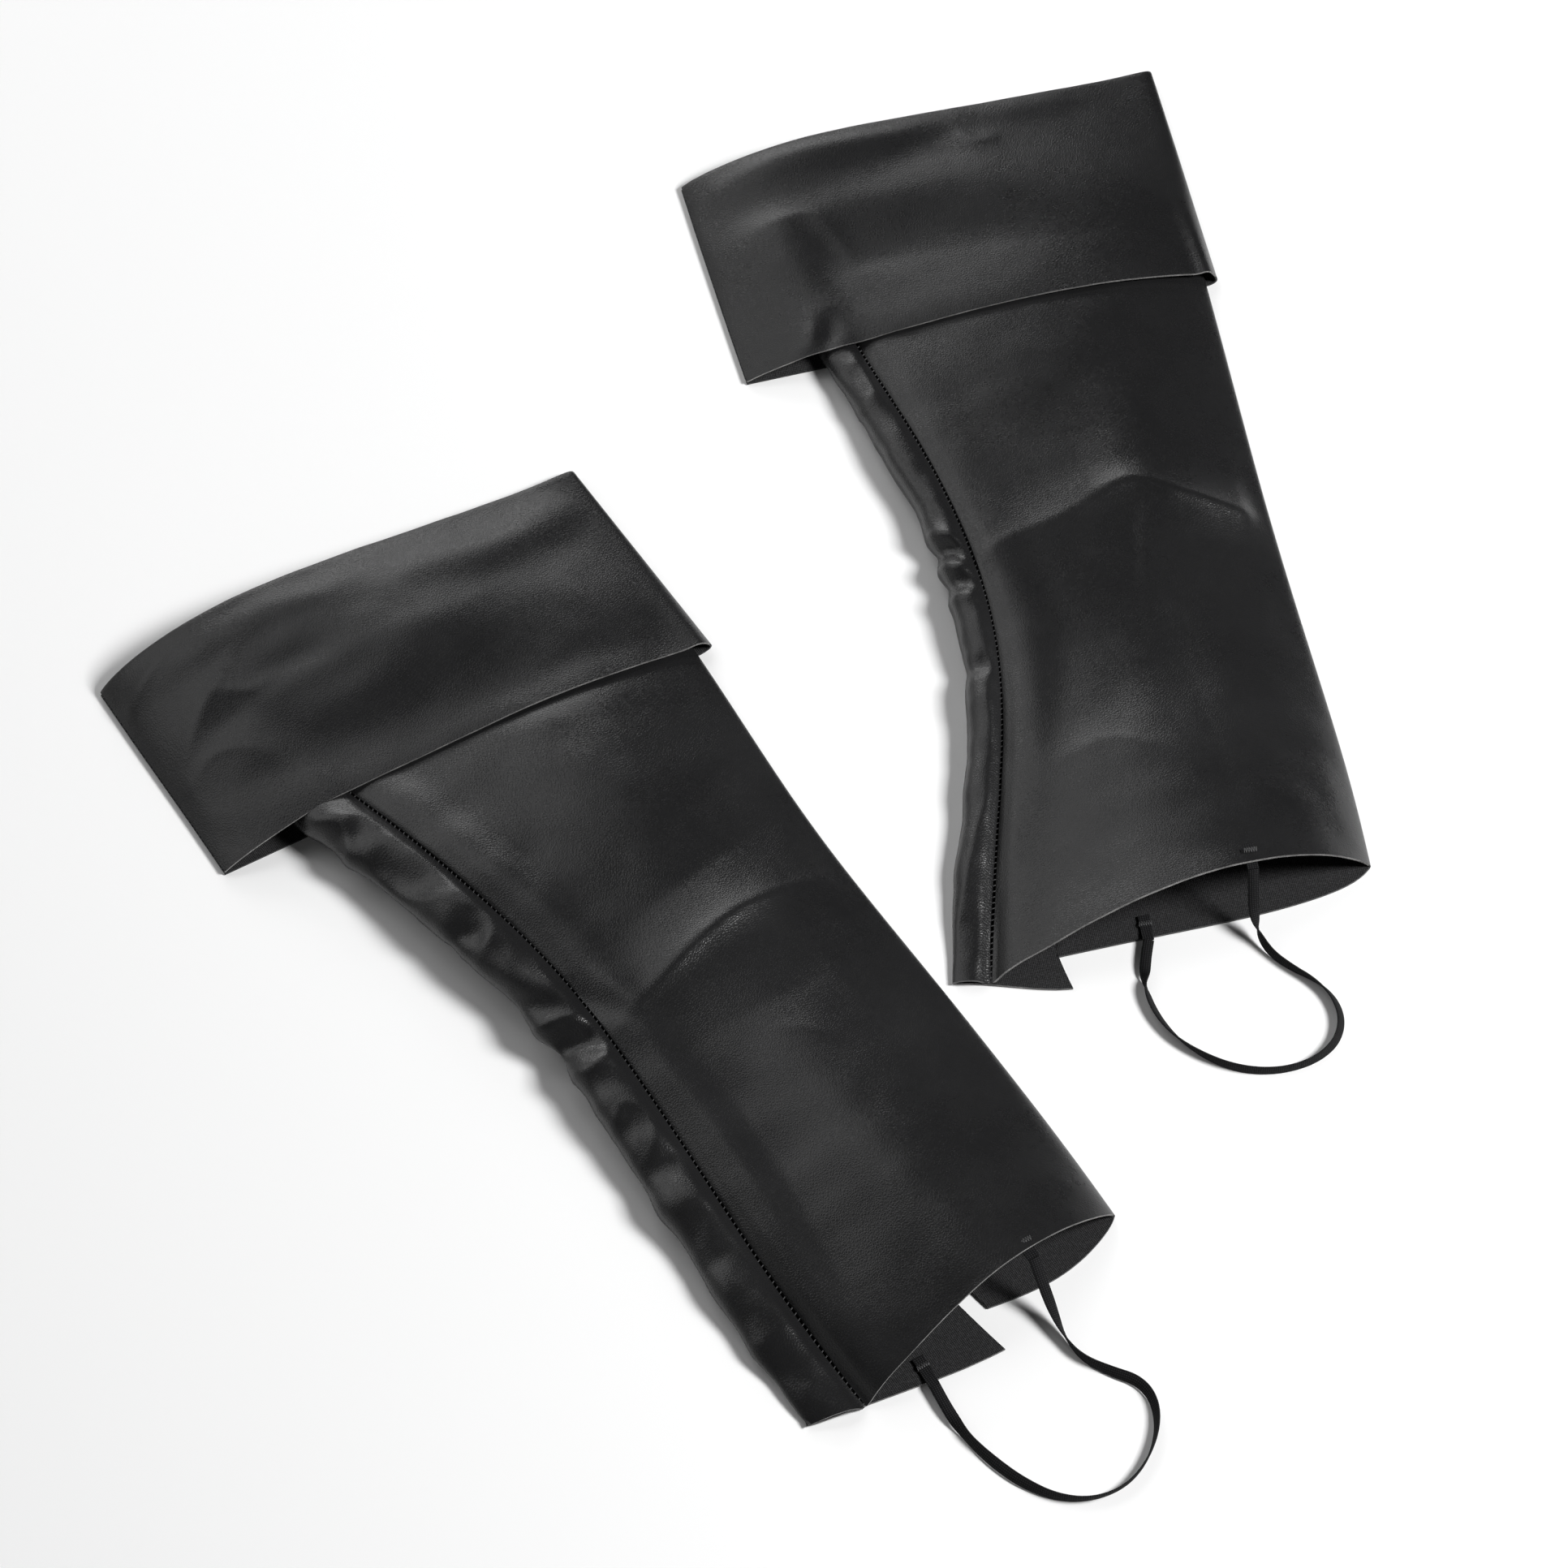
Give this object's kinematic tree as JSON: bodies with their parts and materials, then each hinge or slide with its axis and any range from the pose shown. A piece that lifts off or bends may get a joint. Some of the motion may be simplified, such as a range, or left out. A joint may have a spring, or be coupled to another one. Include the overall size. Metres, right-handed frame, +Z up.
{
  "type": "gaiters",
  "caption": "Pair of slip-on faux-leather gaiters with wide turned-down cuffs, a curved calf seam and a thin elastic stirrup under each instep, lying flat.",
  "frame": {"origin": "on the floor, under the middle of the pair's box, without the two elastics", "axes": "+X to the right across both gaiters, +Y towards the cuffs, along the pair's long side, +Z up"},
  "size_m": [0.5804, 0.8006, 0.0362],
  "materials": {
    "leg_faux_leather": "semi-gloss coated fabric",
    "cuff_faux_leather": "semi-gloss coated fabric",
    "thread": "twisted polyester",
    "elastic": "woven elastic"
  },
  "bodies": {
    "left_gaiter": {"left_leg_outer_panel": "leg_faux_leather", "left_leg_inner_panel": "leg_faux_leather", "left_cuff_band": "cuff_faux_leather", "left_back_seam_thread": "thread", "left_under_seam_thread": "thread", "left_cuff_side_seam_thread": "thread", "left_cuff_top_seam_thread": "thread", "left_stirrup_upper_tack": "thread", "left_stirrup_lower_tack": "thread"},
    "right_gaiter": {"right_leg_outer_panel": "leg_faux_leather", "right_leg_inner_panel": "leg_faux_leather", "right_cuff_band": "cuff_faux_leather", "right_back_seam_thread": "thread", "right_under_seam_thread": "thread", "right_cuff_side_seam_thread": "thread", "right_cuff_top_seam_thread": "thread", "right_stirrup_upper_tack": "thread", "right_stirrup_lower_tack": "thread"},
    "left_stirrup": {"left_stirrup_elastic": "elastic"},
    "right_stirrup": {"right_stirrup_elastic": "elastic"}
  },
  "joints": [
    {"name": "right_gaiter_lift", "type": "slide", "parent": "left_gaiter", "child": "right_gaiter", "axis": [0, 0, 1], "range_m": [0, 0.15]},
    {"name": "left_stirrup_swing", "type": "hinge", "parent": "left_gaiter", "child": "left_stirrup", "pos_m": [0.13179, -0.31289, 0.0226], "axis": [-0.6166, -0.735, -0.282], "range_deg": [0, 75]},
    {"name": "right_stirrup_swing", "type": "hinge", "parent": "right_gaiter", "child": "right_stirrup", "pos_m": [0.23408, -0.11981, 0.0315], "axis": [-0.7998, -0.338, -0.4961], "range_deg": [0, 75]}
  ]
}
